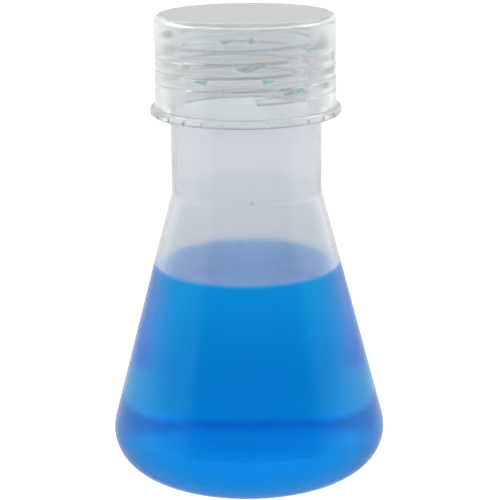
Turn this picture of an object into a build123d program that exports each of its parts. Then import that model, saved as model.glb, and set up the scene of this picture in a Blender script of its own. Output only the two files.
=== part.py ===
from build123d import *
import os
from math import cos, degrees, radians, tan

# A 125 ml wide-neck Erlenmeyer flask of translucent polypropylene, with a screw cap, the cap's
# sealing liner and a blue solution inside. Millimetres, +Z up, origin at the centre of the base.

# Flask body
NECK_RADIUS = 18.1
NECK_BOTTOM = 69.0  # where the cone meets the neck
RIM_Z = 109.6
RIM_ROUNDING = 0.4
CONE_HALF_ANGLE = radians(14.84)
HEEL_RADIUS = 9.5  # the large rounding between the cone and the base
SHOULDER_BLEND = 3.0
WALL = 1.3
FOOT_RADIUS = 20.5  # inner edge of the ring that the flask stands on
BASE_RISE = 1.2  # the base is domed upwards inside that ring

# Contents
LIQUID_Z = 51.3

# Screw thread: one right-handed start. The cap's ridge runs midway between the neck's turns.
PITCH = 3.1
RIDGE_HEIGHT = 1.6
RIDGE_ROOT_WIDTH = 1.7
RIDGE_CREST_WIDTH = 0.9
RIDGE_FOOT = 0.3  # depth of the ridge inside the wall that it grows from
THREAD_BOTTOM = 95.4  # middle of the neck's ridge at its lower end
THREAD_START_ANGLE = 277.0  # degrees about +Z from +X: a little to the right of the front
NECK_TURNS = 3.75
CAP_TURNS = 3.5

# Screw cap
CAP_BOTTOM = 88.0
CAP_TOP = 111.7
CAP_RADIUS = 21.65  # at the bottom of the skirt
CAP_DRAFT = radians(0.75)
CAP_BORE_RADIUS = 20.25
CAP_TOP_WALL = 1.2
CAP_EDGE_ROUNDING = 1.4
CAP_BORE_ROUNDING = 0.6
BEAD_RADIUS = 22.8
BEAD_HEIGHT = 2.1
BEAD_ROUNDING = 0.8
NOTCH_COUNT = 28
NOTCH_RADIUS = 0.45
NOTCH_HEIGHT = 1.3
NOTCH_START_ANGLE = 270.0  # one notch is at the middle of the front

# Liner
LINER_RADIUS = 19.4
SEAT_GAP = 0.02  # left between the liner and what it touches, and between the liquid and the wall


def flask_form(inset, top):
    """The flask's form up to the level top, with every wall moved inwards by inset."""
    slope = tan(CONE_HALF_ANGLE)
    cone_radius = NECK_RADIUS + NECK_BOTTOM * slope - inset / cos(CONE_HALF_ANGLE)  # at z = 0
    neck_radius = NECK_RADIUS - inset
    dome_top = (0, BASE_RISE + inset)
    foot = (FOOT_RADIUS, inset)
    heel_corner = (cone_radius - inset * slope, inset)
    neck_corner = (neck_radius, (cone_radius - neck_radius) / slope)
    mouth = (neck_radius, RIM_Z)
    with BuildPart() as form:
        with BuildSketch(Plane.XZ):
            with BuildLine():
                TangentArc(dome_top, foot, tangent=(1, 0))
                blends = [HEEL_RADIUS - inset, SHOULDER_BLEND + inset]
                FilletPolyline(foot, heel_corner, neck_corner, mouth, radius=blends)
                Polyline(mouth, (0, RIM_Z), dome_top)
            make_face()
        revolve(axis=Axis.Z)
        split(bisect_by=Plane.XY.offset(top), keep=Keep.BOTTOM)
    return form.part


def thread_ridge(wall_radius, outward, bottom, turns):
    """One helical ridge on a wall, standing out from the axis (outward 1) or in towards it (-1)."""
    flank = (RIDGE_ROOT_WIDTH - RIDGE_CREST_WIDTH) / 2 / RIDGE_HEIGHT
    foot_width = RIDGE_ROOT_WIDTH + 2 * RIDGE_FOOT * flank
    with BuildPart() as ridge:
        with BuildLine() as path:
            Helix(PITCH, PITCH * turns, wall_radius)
        with BuildSketch(Plane(path.line @ 0, x_dir=(outward, 0, 0), z_dir=path.line % 0)):
            with BuildLine():
                Polyline(
                    (-RIDGE_FOOT, -foot_width / 2),
                    (RIDGE_HEIGHT, -RIDGE_CREST_WIDTH / 2),
                    (RIDGE_HEIGHT, RIDGE_CREST_WIDTH / 2),
                    (-RIDGE_FOOT, foot_width / 2),
                    close=True,
                )
            make_face()
        sweep(path=path.line, is_frenet=True)
    return ridge.part.moved(Location((0, 0, bottom), (0, 0, THREAD_START_ANGLE)))


# Flask body: the thin-walled cone and neck, with the neck's thread standing out from it
outside = flask_form(0, RIM_Z)
cavity = flask_form(WALL, RIM_Z)
neck_thread = thread_ridge(NECK_RADIUS, 1, THREAD_BOTTOM, NECK_TURNS)

with BuildPart() as flask_body:
    add(outside)
    add(cavity, mode=Mode.SUBTRACT)
    fillet(flask_body.edges().group_by(Axis.Z)[-1], RIM_ROUNDING)
    add(neck_thread)

# Blue solution: fills the flask up to its level
solution = flask_form(WALL + SEAT_GAP, LIQUID_Z)

with BuildPart() as blue_solution:
    add(solution)

# Liner: a thin disc held under the cap's top, which the rim presses on
with BuildPart() as cap_liner:
    with BuildSketch(Plane.XY.offset(RIM_Z + SEAT_GAP)):
        Circle(LINER_RADIUS)
    extrude(amount=CAP_TOP - CAP_TOP_WALL - RIM_Z - 2 * SEAT_GAP)

# Screw cap: a drafted skirt under a flat top, a grip bead at the rim and a thread inside
cap_thread = thread_ridge(CAP_BORE_RADIUS, -1, THREAD_BOTTOM - PITCH / 2, CAP_TURNS)
cap_height = CAP_TOP - CAP_BOTTOM

with BuildPart() as screw_cap:
    with BuildSketch(Plane.XY.offset(CAP_BOTTOM)):
        Circle(CAP_RADIUS)
    extrude(amount=cap_height, taper=degrees(CAP_DRAFT))
    fillet(screw_cap.edges().group_by(Axis.Z)[-1], CAP_EDGE_ROUNDING)
    with BuildSketch(Plane.XY.offset(CAP_BOTTOM)):
        Circle(BEAD_RADIUS)
    extrude(amount=BEAD_HEIGHT)
    fillet(screw_cap.edges().filter_by(GeomType.CIRCLE).filter_by(
        lambda edge: abs(edge.radius - BEAD_RADIUS) < NOTCH_RADIUS), BEAD_ROUNDING)
    with BuildSketch(Plane.XY.offset(CAP_BOTTOM)):
        with PolarLocations(BEAD_RADIUS, NOTCH_COUNT, start_angle=NOTCH_START_ANGLE):
            Circle(NOTCH_RADIUS)
    extrude(amount=NOTCH_HEIGHT, mode=Mode.SUBTRACT)
    with BuildSketch(Plane.XY.offset(CAP_BOTTOM)):
        Circle(CAP_BORE_RADIUS)
    extrude(amount=cap_height - CAP_TOP_WALL, mode=Mode.SUBTRACT)
    bore_end = screw_cap.edges().filter_by(GeomType.CIRCLE).filter_by(
        lambda edge: abs(edge.center().Z - (CAP_TOP - CAP_TOP_WALL)) < SEAT_GAP)
    fillet(bore_end, CAP_BORE_ROUNDING)
    add(cap_thread)

os.makedirs("parts", exist_ok=True)
pieces = {
    "flask_body": flask_body,
    "blue_solution": blue_solution,
    "cap_liner": cap_liner,
    "screw_cap": screw_cap,
}
for name, piece in pieces.items():
    piece.part.label = name
    export_step(piece.part, f"parts/{name}.step")
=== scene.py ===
import math

import bmesh
import bpy
from mathutils import Matrix, Vector


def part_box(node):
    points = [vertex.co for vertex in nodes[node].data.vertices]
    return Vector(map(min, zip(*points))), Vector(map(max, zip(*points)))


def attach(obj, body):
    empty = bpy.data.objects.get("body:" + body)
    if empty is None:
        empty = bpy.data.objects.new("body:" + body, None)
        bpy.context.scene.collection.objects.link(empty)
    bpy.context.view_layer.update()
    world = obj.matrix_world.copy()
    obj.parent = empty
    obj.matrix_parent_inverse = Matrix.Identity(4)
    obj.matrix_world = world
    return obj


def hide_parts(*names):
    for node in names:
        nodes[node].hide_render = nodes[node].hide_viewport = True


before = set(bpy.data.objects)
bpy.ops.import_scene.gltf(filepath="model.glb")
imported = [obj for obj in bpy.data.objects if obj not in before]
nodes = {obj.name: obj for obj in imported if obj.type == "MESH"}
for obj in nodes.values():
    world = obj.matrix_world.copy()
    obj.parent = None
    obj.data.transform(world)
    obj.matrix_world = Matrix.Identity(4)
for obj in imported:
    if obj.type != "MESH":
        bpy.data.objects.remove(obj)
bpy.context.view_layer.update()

# ------------------------------------------------------------------ sizes
# Metres, in the frame of the CAD model: Z up, the foot at z = 0, the thread's axis on Z.

HALF_ANGLE = math.radians(14.84)
WALL = 0.0013
FOOT_RADIUS = 0.0205
HEEL_RADIUS = 0.0095
BASE_RISE = 0.0012
NECK_BOTTOM = 0.069
NECK_RADIUS = 0.0181
CAP_BORE_RADIUS = 0.02025
PITCH = 0.0031
THREAD_BOTTOM = 0.0954

# The azimuth where the cap's groove starts, in degrees, and the normal of the moulds' parting plane.
THREAD_START = 277
PARTING_NORMAL = Vector((0.993, -0.12, 0))

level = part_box("blue_solution")[1].z
cap_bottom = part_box("screw_cap")[0].z

# ------------------------------------------------------------------ palette
# A pair of tints is what a cloud of noise mixes. A range is what noise goes through.

WHITE = (1, 1, 1, 1)
BLACK = (0, 0, 0, 1)
WET_TINTS = (0.96, 0.975, 0.985, 1), (0.98, 0.985, 0.99, 1)
DRY_TINTS = (0.88, 0.905, 0.93, 1), (0.90, 0.92, 0.94, 1)
CAPPED_TINT = (0.93, 0.95, 0.955, 1)
# Painted reflection: the blue tint on the outer face's reflection below the liquid's level.
PAINTED_BLUE_REFLECTION = (0.3, 0.9, 1, 1)
CAP_TINTS = (0.95, 0.985, 0.985, 1), (0.975, 0.995, 0.99, 1)
FOAM_TINTS = (0.93, 0.94, 0.93, 1), (0.86, 0.88, 0.87, 1)
LIQUID_TINTS = (0.80, 0.96, 0.99, 1), (0.84, 0.98, 1.0, 1)
# Painted light: the colours of the liquid's faint glow, which stands in for light scattered inside it.
LIQUID_PAINTED_GLOWS = (0.0, 0.50, 0.95, 1), (0.0, 0.54, 1.0, 1)
RESIDUE_TINTS = (0.35, 0.91, 0.99, 1), (0.6, 0.97, 1.0, 1)
PLASTIC_ABSORPTION = {"Color": (0.5, 0.55, 0.6, 1), "Density": 5}
LIQUID_ABSORPTION = {"Color": (0.0, 0.85, 0.962, 1), "Density": 150}

PLASTIC_IOR = 1.49
LIQUID_IOR = 1.333
RESIDUE_IOR = 1.4
WET_TRANSMISSION = 1.0
DRY_TRANSMISSION = 0.88
CAPPED_TRANSMISSION = 0.92
CAP_TRANSMISSION = 0.74
RESIDUE_TRANSMISSION = 0.2, 0.85
# Strength of the liquid's painted glow.
LIQUID_PAINTED_GLOW = 0.055

FLASK_ROUGHNESS = 0.12, 0.18
CAPPED_ROUGHNESS = 0.015
CAP_ROUGHNESS = 0.005, 0.02
FOAM_ROUGHNESS = 0.6, 0.85
LIQUID_ROUGHNESS = 0.0, 0.03
RESIDUE_ROUGHNESS = 0.2, 0.5

STREAK_DEPTH = 0.000008
PARTING_DEPTH = 0.00002
CELL_DEPTH = 0.00005
RESIDUE_DEPTH = 0.00003
CELLS_PER_METRE = 2500

# The flask's looks change within these heights of the liquid's level and of the cap's rim, in metres.
DRY_EDGE = 0.001
CAPPED_EDGE = -0.001, 0.006

# The liquid's gloss comes in between these depths below its free surface, in metres.
FREE_EDGE = 0.0004, 0.0001

# Most of the noise lies in this range. The residue clears over a narrower one, in patches.
NOISE = 0.3, 0.7
RESIDUE_NOISE = 0.4, 0.65

# ------------------------------------------------------------------ nodes


def add_node(tree, kind, inputs=None, **settings):
    """A shader node. A value in inputs is a number, a tuple or another node's socket."""
    node = tree.nodes.new("ShaderNode" + kind)
    for name, value in settings.items():
        setattr(node, name, value)
    for name, value in (inputs or {}).items():
        if isinstance(value, bpy.types.NodeSocket):
            tree.links.new(value, node.inputs[name])
        else:
            node.inputs[name].default_value = value
    return node


def new_material(name):
    """An empty node material, with its tree and its output node."""
    material = bpy.data.materials.new(name)
    material.use_nodes = True
    material.node_tree.nodes.clear()
    return material, material.node_tree, add_node(material.node_tree, "OutputMaterial")


def remap(tree, value, start, end, low, high):
    """Turns value from start-end into low-high, smoothly."""
    inputs = {"Value": value, "From Min": start, "From Max": end, "To Min": low, "To Max": high}
    return add_node(tree, "MapRange", inputs, interpolation_type="SMOOTHSTEP").outputs["Result"]


def mix_number(tree, factor, first, second):
    """first where factor is 0, and second where it is 1. mix_colour does the same."""
    return add_node(tree, "Mix", {0: factor, 2: first, 3: second}, data_type="FLOAT").outputs[0]


def mix_colour(tree, factor, first, second):
    return add_node(tree, "Mix", {0: factor, 6: first, 7: second}, data_type="RGBA").outputs[2]


def clouds(tree, scale, detail=2):
    """Noise in metres: scale gives how many features fit in a metre, along x, y and z."""
    place = add_node(tree, "TexCoord").outputs["Object"]
    stretched = add_node(tree, "Mapping", {"Vector": place, "Scale": scale}).outputs[0]
    return add_node(tree, "TexNoise", {"Vector": stretched, "Scale": 1, "Detail": detail}).outputs["Fac"]


def height(tree):
    """Z in metres."""
    place = add_node(tree, "TexCoord").outputs["Object"]
    return add_node(tree, "SeparateXYZ", {0: place}).outputs["Z"]


def bump(tree, value, depth):
    """A normal from value, whose full range is depth metres high."""
    return add_node(tree, "Bump", {"Height": value, "Distance": depth, "Strength": 1}).outputs[0]


# Where the parting line starts and stops fading, in metres from the parting plane.
PARTING_EDGE = 0.00005, 0.0002


def parting_line(tree, under, depth):
    """A bump of the two mould halves' parting line, depth metres high, on top of under."""
    place = add_node(tree, "TexCoord").outputs["Object"]
    pair = {0: place, 1: PARTING_NORMAL}
    side = add_node(tree, "VectorMath", pair, operation="DOT_PRODUCT").outputs["Value"]
    away = add_node(tree, "Math", {0: side}, operation="ABSOLUTE").outputs[0]
    line = remap(tree, away, *PARTING_EDGE, 1, 0)
    return add_node(tree, "Bump", {"Height": line, "Distance": depth, "Normal": under}).outputs[0]


# How far inner_face takes to go over from one of its zones to the next, in metres.
ZONE_EDGE = 0.0005


def inner_face(tree):
    """1 on the inner faces of the flask's cone, heel and base, 0 on the outer ones.

    Each zone turns from 1 to 0 part of the way through the wall.
    """
    place = add_node(tree, "TexCoord").outputs["Object"]
    flat = add_node(tree, "VectorMath", {0: place, 1: (1, 1, 0)}, operation="MULTIPLY").outputs[0]
    radius = add_node(tree, "VectorMath", {0: flat}, operation="LENGTH").outputs["Value"]
    z = height(tree)
    profile = add_node(tree, "CombineXYZ", {0: radius, 1: 0, 2: z}).outputs[0]
    pair = {0: profile, 1: (math.cos(HALF_ANGLE), 0, math.sin(HALF_ANGLE))}
    outward = add_node(tree, "VectorMath", pair, operation="DOT_PRODUCT").outputs["Value"]
    cone = (NECK_RADIUS + NECK_BOTTOM * math.tan(HALF_ANGLE)) * math.cos(HALF_ANGLE)
    in_cone = remap(tree, outward, cone - 0.85 * WALL, cone - 0.5 * WALL, 1, 0)
    centre = ((cone - HEEL_RADIUS * (1 + math.sin(HALF_ANGLE))) / math.cos(HALF_ANGLE), 0, HEEL_RADIUS)
    away = add_node(tree, "VectorMath", {0: profile, 1: centre}, operation="DISTANCE").outputs["Value"]
    in_heel = remap(tree, away, HEEL_RADIUS - 0.75 * WALL, HEEL_RADIUS - 0.25 * WALL, 1, 0)
    in_base = remap(tree, z, BASE_RISE, WALL, 0, 1)
    past_base = remap(tree, radius, centre[0] - ZONE_EDGE, centre[0], 0, 1)
    low = mix_number(tree, past_base, in_base, in_heel)
    past_heel = remap(tree, z, HEEL_RADIUS, HEEL_RADIUS + ZONE_EDGE, 0, 1)
    return mix_number(tree, past_heel, low, in_cone)


# ------------------------------------------------------------------ materials


def join(tree, output, surface, absorption=None):
    """Joins a surface to the output, and a volume if the material has one."""
    tree.links.new(surface.outputs[0], output.inputs["Surface"])
    if absorption:
        volume = add_node(tree, "VolumeAbsorption", absorption)
        tree.links.new(volume.outputs[0], output.inputs["Volume"])


def flask_plastic():
    """Clear moulded plastic, a little hazy where its inner face is dry. Below the liquid's level, the
    reflection on its outer face is painted blue.
    """
    material, tree, output = new_material("flask_plastic")
    z = height(tree)
    dry = remap(tree, z, level - DRY_EDGE, level + DRY_EDGE, 0, 1)
    under_cap = remap(tree, z, cap_bottom + CAPPED_EDGE[0], cap_bottom + CAPPED_EDGE[1], 0, 1)
    cloud = clouds(tree, (90, 90, 60))
    wet_tint = mix_colour(tree, cloud, *WET_TINTS)
    dry_tint = mix_colour(tree, cloud, *DRY_TINTS)
    open_tint = mix_colour(tree, dry, wet_tint, dry_tint)
    tint = mix_colour(tree, under_cap, open_tint, CAPPED_TINT)
    # Painted reflection: below the level, the outer face's reflection is tinted blue, and the inner
    # face, against the liquid, reflects nothing.
    wet_reflection_painted_blue_outside = mix_colour(tree, inner_face(tree), PAINTED_BLUE_REFLECTION, BLACK)
    gloss = mix_colour(tree, dry, wet_reflection_painted_blue_outside, WHITE)
    streaks = clouds(tree, (700, 700, 25), 3)
    open_roughness = remap(tree, streaks, *NOISE, *FLASK_ROUGHNESS)
    roughness = mix_number(tree, under_cap, open_roughness, CAPPED_ROUGHNESS)
    open_clearness = remap(tree, dry, 0, 1, WET_TRANSMISSION, DRY_TRANSMISSION)
    clearness = mix_number(tree, under_cap, open_clearness, CAPPED_TRANSMISSION)
    normal = parting_line(tree, bump(tree, streaks, STREAK_DEPTH), PARTING_DEPTH)
    surface = add_node(tree, "BsdfPrincipled", {
        "Base Color": tint, "Roughness": roughness, "IOR": PLASTIC_IOR,
        "Transmission Weight": clearness, "Specular Tint": gloss, "Normal": normal})
    join(tree, output, surface, PLASTIC_ABSORPTION)
    return material


def cap_plastic():
    """Milky moulded plastic with fine draw marks along the pull of the mould."""
    material, tree, output = new_material("cap_plastic")
    cloud = clouds(tree, (120, 120, 90))
    tint = mix_colour(tree, cloud, *CAP_TINTS)
    streaks = clouds(tree, (900, 900, 30), 3)
    surface = add_node(tree, "BsdfPrincipled", {
        "Base Color": tint, "Roughness": remap(tree, streaks, *NOISE, *CAP_ROUGHNESS),
        "IOR": PLASTIC_IOR, "Transmission Weight": CAP_TRANSMISSION,
        "Normal": bump(tree, streaks, STREAK_DEPTH)})
    join(tree, output, surface, PLASTIC_ABSORPTION)
    return material


def liner_foam():
    """Closed-cell white foam."""
    material, tree, output = new_material("liner_foam")
    place = add_node(tree, "TexCoord").outputs["Object"]
    scale = {"Vector": place, "Scale": CELLS_PER_METRE}
    cells = add_node(tree, "TexVoronoi", scale).outputs["Distance"]
    surface = add_node(tree, "BsdfPrincipled", {
        "Base Color": mix_colour(tree, cells, *FOAM_TINTS),
        "Roughness": remap(tree, cells, 0, 1, *FOAM_ROUGHNESS),
        "Normal": bump(tree, cells, CELL_DEPTH)})
    join(tree, output, surface)
    return material


def blue_liquid():
    """Blue dye in water, a touch cloudy, with a faint painted glow that stands in for light scattered
    inside it. Only its free surface is glossy: its sides touch plastic.
    """
    material, tree, output = new_material("blue_liquid")
    cloud = clouds(tree, (35, 35, 50))
    tint = mix_colour(tree, cloud, *LIQUID_TINTS)
    # A painted glow, which stands in for light scattered inside the liquid.
    glow = mix_colour(tree, cloud, *LIQUID_PAINTED_GLOWS)
    free = remap(tree, height(tree), level - FREE_EDGE[0], level - FREE_EDGE[1], 0, 1)
    gloss = mix_colour(tree, free, BLACK, WHITE)
    surface = add_node(tree, "BsdfPrincipled", {
        "Base Color": tint, "Roughness": remap(tree, cloud, *NOISE, *LIQUID_ROUGHNESS),
        "IOR": LIQUID_IOR, "Transmission Weight": 1.0, "Specular Tint": gloss,
        "Emission Color": glow, "Emission Strength": LIQUID_PAINTED_GLOW})
    join(tree, output, surface, LIQUID_ABSORPTION)
    return material


def dried_residue():
    """A thin film of the blue liquid, dried on in the cap."""
    material, tree, output = new_material("dried_residue")
    cloud = clouds(tree, (900, 900, 900), 3)
    surface = add_node(tree, "BsdfPrincipled", {
        "Base Color": mix_colour(tree, cloud, *RESIDUE_TINTS),
        "Roughness": remap(tree, cloud, *NOISE, *RESIDUE_ROUGHNESS), "IOR": RESIDUE_IOR,
        "Transmission Weight": remap(tree, cloud, *RESIDUE_NOISE, *RESIDUE_TRANSMISSION),
        "Normal": bump(tree, cloud, RESIDUE_DEPTH)})
    join(tree, output, surface)
    return material


def assign(obj, material):
    """Gives the whole object the material."""
    for slot in obj.material_slots:
        slot.material = material
    if not obj.material_slots:
        obj.data.materials.append(material)


LOOKS = (
    ("flask_body", "flask_plastic"),
    ("screw_cap", "cap_plastic"),
    ("cap_liner", "liner_foam"),
)
materials = {
    "flask_plastic": flask_plastic(),
    "cap_plastic": cap_plastic(),
    "liner_foam": liner_foam(),
}
for node, slot in LOOKS:
    assign(nodes[node], materials[slot])

# ------------------------------------------------------------------ meshes

SHARP_ANGLE = math.radians(40)


def add_object(name, mesh, material):
    """An object from a bmesh: faces point outwards and shade smoothly, apart from sharp edges."""
    bmesh.ops.recalc_face_normals(mesh, faces=mesh.faces)
    data = bpy.data.meshes.new(name)
    mesh.to_mesh(data)
    mesh.free()
    data.shade_smooth()
    data.set_sharp_from_angle(angle=SHARP_ANGLE)
    data.materials.append(material)
    obj = bpy.data.objects.new(name, data)
    bpy.context.scene.collection.objects.link(obj)
    return obj


def add_face(mesh, first, second, k, j):
    """The face between the points k and j of two rings. A ring of one point makes it a triangle."""
    lower = (first[k % len(first)], first[j % len(first)])
    upper = (second[j % len(second)], second[k % len(second)])
    mesh.faces.new(list(dict.fromkeys(lower + upper)))


def lathe(profile, segments):
    """A closed solid of revolution about Z, from points (radius, z) that start and end on Z."""
    mesh = bmesh.new()
    turns = [2 * math.pi * k / segments for k in range(segments)]
    rings = []
    for radius, z in profile:
        around = turns if radius > 0 else turns[:1]
        points = [(radius * math.cos(a), radius * math.sin(a), z) for a in around]
        rings.append([mesh.verts.new(point) for point in points])
    for low, high in zip(rings, rings[1:]):
        for k in range(segments):
            add_face(mesh, low, high, k, (k + 1) % segments)
    return mesh


def arc(centre, radius, start, end, steps):
    """Points of an arc, from the angle start to the angle end, in radians."""
    angles = [start + (end - start) * i / steps for i in range(steps + 1)]
    return [(centre[0] + radius * math.cos(a), centre[1] + radius * math.sin(a)) for a in angles]


# ------------------------------------------------------------------ the blue liquid
# It reaches a little way into the plastic, so that no air shows between the two.

OVERLAP = 0.0001
RINGS = 24
SEGMENTS = 192


def solution_profile():
    """Points (radius, z) along the base, round the heel, up the cone and back to Z along the surface."""
    inset = WALL - OVERLAP
    slope = math.tan(HALF_ANGLE)
    heel = HEEL_RADIUS - inset

    def cone_radius(z):
        return NECK_RADIUS + (NECK_BOTTOM - z) * slope - inset / math.cos(HALF_ANGLE)

    heel_centre = (cone_radius(HEEL_RADIUS) - heel / math.cos(HALF_ANGLE), HEEL_RADIUS)
    steps = [i / RINGS for i in range(RINGS + 1)]
    points = [(FOOT_RADIUS * t, inset + BASE_RISE * (1 - t * t)) for t in steps]
    points += arc(heel_centre, heel, math.radians(-90), HALF_ANGLE, RINGS)
    bottom, edge = points[-1][1], cone_radius(level)
    points += [(cone_radius(z), z) for z in (bottom + (level - bottom) * t for t in steps[1:])]
    points += [(edge * (1 - t), level) for t in steps[1:]]
    return points


solution = add_object("solution_fill", lathe(solution_profile(), SEGMENTS), blue_liquid())
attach(solution, "flask")
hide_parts("blue_solution")

# ------------------------------------------------------------------ residue in the cap
# Each film lies on the bore of the cap, in the groove between two turns of its thread.

FILM_DEPTH = 0.00025
FILM_SEAT = 0.00005
FILM_STEPS = (0.0, 0.3, 0.55, 0.75, 0.9, 1.0)
FILM_SIDES = 48
GROOVE_WIDTH = 0.0013


def groove_height(azimuth, near):
    """Height of the cap's groove nearest to near, at azimuth degrees to the right of the front."""
    first = THREAD_BOTTOM + PITCH * (270 + azimuth - THREAD_START) / 360
    return first + PITCH * round((near - first) / PITCH)


def film(azimuth, z, width, tall, slope, phase):
    """A closed dried film: domed towards the axis, seated a hair into the cap's wall."""
    mesh = bmesh.new()
    sides = []
    for inner in (True, False):
        rings = []
        for t in FILM_STEPS:
            depth = FILM_DEPTH * math.sqrt(1 - t * t) if inner else -FILM_SEAT
            ring = []
            for k in range(FILM_SIDES if t else 1):
                a = 2 * math.pi * k / FILM_SIDES
                # The outline has three large lobes and seven small ones.
                reach = t * (1 + 0.22 * math.sin(3 * a + phase) + 0.1 * math.sin(7 * a + 2 * phase))
                along = width / 2 * reach * math.cos(a)
                up = tall / 2 * reach * math.sin(a) + slope * along
                turn = math.radians(270 + azimuth) + along / CAP_BORE_RADIUS
                radius = CAP_BORE_RADIUS - depth
                ring.append(mesh.verts.new((radius * math.cos(turn), radius * math.sin(turn), z + up)))
            rings.append(ring)
        sides.append(rings)
    rim = (sides[0][-1], sides[1][-1])
    for rings in (*sides, rim):
        for first, second in zip(rings, rings[1:]):
            for k in range(FILM_SIDES):
                add_face(mesh, first, second, k, (k + 1) % FILM_SIDES)
    return mesh


# azimuth to the right of the front in degrees, height, width and tallness in metres, slope, phase
SMEARS = (
    (3, 0.1024, 0.0058, 0.0011, 0.10, 0.4),
    (14, 0.1000, 0.0030, 0.0007, 0.02, 1.7),
    (4, 0.1072, 0.0012, 0.0012, 0.0, 2.9),
    (-12, 0.1062, 0.0030, 0.0008, 0.05, 0.9),
    (-29, 0.0977, 0.0032, 0.0009, 0.02, 5.1),
    (34, 0.0953, 0.0062, 0.0012, 0.03, 3.3),
    (52, 0.1037, 0.0060, 0.0010, 0.04, 4.2),
    (70, 0.0994, 0.0046, 0.0013, 0.0, 1.1),
    (74, 0.1024, 0.0036, 0.0013, 0.0, 2.2),
    (62, 0.0960, 0.0030, 0.0010, 0.0, 6.0),
    (118, 0.1010, 0.0050, 0.0011, 0.03, 0.2),
    (171, 0.1055, 0.0042, 0.0010, 0.02, 3.8),
    (238, 0.0984, 0.0048, 0.0012, 0.02, 5.6),
)
residue_material = dried_residue()
for number, (azimuth, z, width, tall, slope, phase) in enumerate(SMEARS, start=1):
    seat = groove_height(azimuth, z)
    smear = film(azimuth, seat, width, min(tall, GROOVE_WIDTH), slope, phase)
    piece = add_object(f"residue_{number:02d}", smear, residue_material)
    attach(piece, "cap")

# ------------------------------------------------------------------ bubbles in the plastic
# A bubble near the surface shows as a small raised ring.

RING_RADIUS = 0.00045
RING_WIRE = 0.00014
RING_SIDES = 32
WIRE_SIDES = 12
RAY_START = 0.1


def ring(centre, normal):
    """A torus round the line through centre along normal."""
    turn = normal.to_track_quat("Z", "Y")
    mesh = bmesh.new()
    loops = []
    for k in range(RING_SIDES):
        a = 2 * math.pi * k / RING_SIDES
        loop = []
        for i in range(WIRE_SIDES):
            b = 2 * math.pi * i / WIRE_SIDES
            radius = RING_RADIUS + RING_WIRE * math.cos(b)
            point = Vector((radius * math.cos(a), radius * math.sin(a), RING_WIRE * math.sin(b)))
            loop.append(mesh.verts.new(centre + turn @ point))
        loops.append(loop)
    for k in range(RING_SIDES):
        first, second = loops[k], loops[(k + 1) % RING_SIDES]
        for i in range(WIRE_SIDES):
            j = (i + 1) % WIRE_SIDES
            mesh.faces.new((first[i], second[i], second[j], first[j]))
    return mesh


# name, node that it is on, body, slot, azimuth to the right of the front in degrees, height in metres
BUBBLES = (
    ("bubble_cap", "screw_cap", "cap", "cap_plastic", 7.4, 0.0941),
    ("bubble_neck", "flask_body", "flask", "flask_plastic", 3.6, 0.0699),
    ("bubble_back", "flask_body", "flask", "flask_plastic", 152, 0.0612),
)
bpy.context.view_layer.update()
for name, node, body, slot, azimuth, z in BUBBLES:
    a = math.radians(270 + azimuth)
    out = Vector((math.cos(a), math.sin(a), 0))
    place, normal = nodes[node].ray_cast(out * RAY_START + Vector((0, 0, z)), -out)[1:3]
    piece = add_object(name, ring(place, normal), materials[slot])
    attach(piece, body)

# ------------------------------------------------------------------ stage, light and camera

FLOOR_SIZE = 0.9
FLOOR_DROP = 0.0001
FLOOR_COLOUR = (0.2, 0.2, 0.2, 1)
FLOOR_ROUGHNESS = 0.9

# The floor's glow, in front, under the flask and behind it. It changes between these y, in metres.
FRONT_GLOW = 0.3
FLOOR_GLOW = 0.48
FAR_GLOW = 0.7
FLOOR_FROM = -0.16, -0.03
FAR_FROM = 0.2, 0.4

# The tent's strength, zone by zone.
GROUND = 0.96
WALLS = 0.5
BACK = 1.15
BEHIND = 0.55
TOP = 0.76
ZENITH = 1.9
DARK = 0.18

# Where each zone starts: azimuths in radians from the front, and the Z of a unit direction.
DARK_FROM = math.radians(-52)
DARK_FROM_EDGE = 0.04
DARK_TO = math.radians(63)
DARK_TO_EDGE = 0.14
BACK_FROM = 2.3, 2.45
BEHIND_FROM = 2.8, 2.95
WALLS_FROM = -0.02, 0.06
TOP_FROM = 0.2, 0.26

# ZENITH is a band about this Z, which fades out between these distances from it.
SKYLIGHT = 0.65
SKYLIGHT_EDGE = 0.09, 0.15

# What camera rays see.
FLOOR_SEEN = 0.92
TENT_SEEN = 1.05


def lay_floor():
    """A glowing floor, brighter to the camera than to every other ray."""
    material, tree, output = new_material("floor")
    place = add_node(tree, "TexCoord").outputs["Object"]
    y = add_node(tree, "SeparateXYZ", {0: place}).outputs["Y"]
    near = remap(tree, y, *FLOOR_FROM, FRONT_GLOW, FLOOR_GLOW)
    glow = mix_number(tree, remap(tree, y, *FAR_FROM, 0, 1), near, FAR_GLOW)
    camera_ray = add_node(tree, "LightPath").outputs["Is Camera Ray"]
    seen = mix_number(tree, camera_ray, glow, FLOOR_SEEN)
    surface = add_node(tree, "BsdfPrincipled", {
        "Base Color": FLOOR_COLOUR, "Roughness": FLOOR_ROUGHNESS, "Emission Color": WHITE,
        "Emission Strength": seen})
    join(tree, output, surface)
    mesh = bmesh.new()
    bmesh.ops.create_grid(mesh, x_segments=1, y_segments=1, size=FLOOR_SIZE / 2)
    floor = add_object("floor", mesh, material)
    floor.location.z = -FLOOR_DROP


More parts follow.
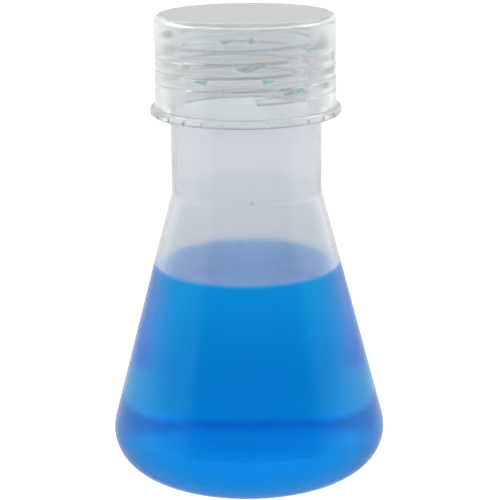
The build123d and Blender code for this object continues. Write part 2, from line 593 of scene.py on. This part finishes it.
def light_world():
    """A pale tent with a dark opening in front, where the camera stands. Camera rays see it white."""
    world = bpy.data.worlds.new("studio")
    bpy.context.scene.world = world
    world.use_nodes = True
    tree = world.node_tree
    tree.nodes.clear()
    ray = add_node(tree, "TexCoord").outputs["Generated"]
    x, y, z = add_node(tree, "SeparateXYZ", {0: ray}).outputs
    front = add_node(tree, "Math", {0: y, 1: -1}, operation="MULTIPLY").outputs[0]
    azimuth = add_node(tree, "Math", {0: x, 1: front}, operation="ARCTAN2").outputs[0]
    left = remap(tree, azimuth, DARK_FROM - DARK_FROM_EDGE, DARK_FROM + DARK_FROM_EDGE, 0, 1)
    right = remap(tree, azimuth, DARK_TO - DARK_TO_EDGE, DARK_TO + DARK_TO_EDGE, 1, 0)
    opening = add_node(tree, "Math", {0: left, 1: right}, operation="MULTIPLY").outputs[0]
    turned = add_node(tree, "Math", {0: azimuth}, operation="ABSOLUTE").outputs[0]
    behind = remap(tree, turned, *BEHIND_FROM, BACK, BEHIND)
    sides = mix_number(tree, remap(tree, turned, *BACK_FROM, 0, 1), WALLS, behind)
    walls = mix_number(tree, opening, sides, DARK)
    away = add_node(tree, "Math", {0: z, 1: SKYLIGHT}, operation="SUBTRACT").outputs[0]
    off_band = add_node(tree, "Math", {0: away}, operation="ABSOLUTE").outputs[0]
    top = mix_number(tree, remap(tree, off_band, *SKYLIGHT_EDGE, 1, 0), TOP, ZENITH)
    above = mix_number(tree, remap(tree, z, *TOP_FROM, 0, 1), walls, top)
    light = mix_number(tree, remap(tree, z, *WALLS_FROM, 0, 1), GROUND, above)
    camera_ray = add_node(tree, "LightPath").outputs["Is Camera Ray"]
    seen = mix_number(tree, camera_ray, light, TENT_SEEN)
    background = add_node(tree, "Background", {"Color": WHITE, "Strength": seen})
    output = add_node(tree, "OutputWorld")
    tree.links.new(background.outputs[0], output.inputs["Surface"])


def softbox(name, azimuth, distance, size, power):
    """An area light that stands on the floor and faces the flask's axis.

    Azimuth 0 is the camera's side of the flask, and 90 is to the camera's right, in degrees.
    """
    light = bpy.data.lights.new(name, "AREA")
    light.size = size
    light.energy = power
    a = math.radians(azimuth)
    out = Vector((math.sin(a), -math.cos(a), 0))
    obj = bpy.data.objects.new(name, light)
    obj.location = out * distance + Vector((0, 0, size / 2))
    obj.rotation_mode = "QUATERNION"
    obj.rotation_quaternion = out.to_track_quat("Z", "Y")
    obj.visible_camera = False
    bpy.context.scene.collection.objects.link(obj)


# Lens and sensor in millimetres, place in metres, pitch below the horizon and roll in degrees.
LENS = 119.4
SENSOR_WIDTH = 36
SHIFT = 0.0052
CAMERA_PLACE = (0, -0.3899, 0.1589)
CAMERA_PITCH = 15.05
CAMERA_ROLL = -0.6


def place_camera():
    data = bpy.data.cameras.new("camera")
    data.lens = LENS
    data.sensor_width = SENSOR_WIDTH
    data.shift_x = SHIFT
    camera = bpy.data.objects.new("camera", data)
    pitch = Matrix.Rotation(math.radians(90 - CAMERA_PITCH), 4, "X")
    roll = Matrix.Rotation(math.radians(CAMERA_ROLL), 4, "Z")
    camera.matrix_world = Matrix.Translation(CAMERA_PLACE) @ (pitch @ roll)
    bpy.context.scene.collection.objects.link(camera)
    bpy.context.scene.camera = camera


lay_floor()
light_world()
softbox("softbox_left", azimuth=-91, distance=0.25, size=0.4, power=0.14)
softbox("softbox_right", azimuth=100, distance=0.25, size=0.36, power=0.11)
place_camera()
scene = bpy.context.scene
scene.view_settings.view_transform = "Standard"
scene.view_settings.gamma = 0.88
scene.view_settings.exposure = 0.2
scene.cycles.max_bounces = 32
scene.cycles.transmission_bounces = 32
scene.cycles.glossy_bounces = 16
